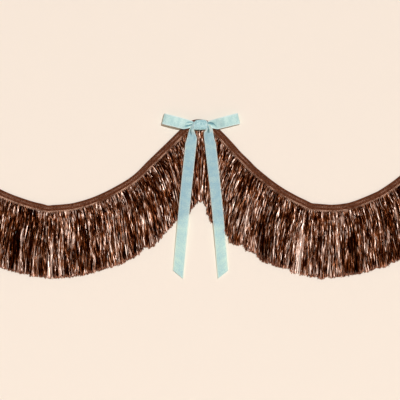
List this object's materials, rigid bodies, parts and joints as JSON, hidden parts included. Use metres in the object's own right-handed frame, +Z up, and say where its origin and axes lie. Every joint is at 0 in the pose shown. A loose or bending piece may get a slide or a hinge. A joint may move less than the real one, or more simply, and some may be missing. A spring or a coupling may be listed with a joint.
{
  "type": "fringe bow banner",
  "caption": "Swagged wall banner: a folded fabric binding carries a metallic fringe, with a ribbon bow and long hanging tails over the raised peak.",
  "frame": {"origin": "on the back face of the binding at the peak, on the middle of its width", "axes": "+X to the right along the banner, -Y towards the viewer, +Y into the wall, +Z up"},
  "size_m": [0.8265, 0.0138, 0.2334],
  "materials": {
    "binding_fabric": "plain woven dark brown tape, matt",
    "tinsel_film": "crinkled bronze-brown metallised film, glossy",
    "velvet_ribbon": "pale blue-green velvet ribbon with a short nap"
  },
  "bodies": {
    "banner": {"binding_left": "binding_fabric", "binding_peak": "binding_fabric", "binding_right": "binding_fabric", "fringe_left_outer": "tinsel_film", "fringe_left_inner": "tinsel_film", "fringe_right_inner": "tinsel_film", "fringe_right_outer": "tinsel_film", "bow_knot": "velvet_ribbon", "bow_loop_left": "velvet_ribbon", "bow_loop_right": "velvet_ribbon"},
    "tail_left": {"bow_tail_left": "velvet_ribbon"},
    "tail_right": {"bow_tail_right": "velvet_ribbon"}
  },
  "joints": [
    {"name": "tail_left_lift", "type": "hinge", "parent": "banner", "child": "tail_left", "pos_m": [-0.014, -0.00515, -0.00747], "axis": [-1, 0, 0], "range_deg": [0, 80]},
    {"name": "tail_right_lift", "type": "hinge", "parent": "banner", "child": "tail_right", "pos_m": [0.013, -0.00515, -0.00747], "axis": [-1, 0, 0], "range_deg": [0, 80]}
  ]
}
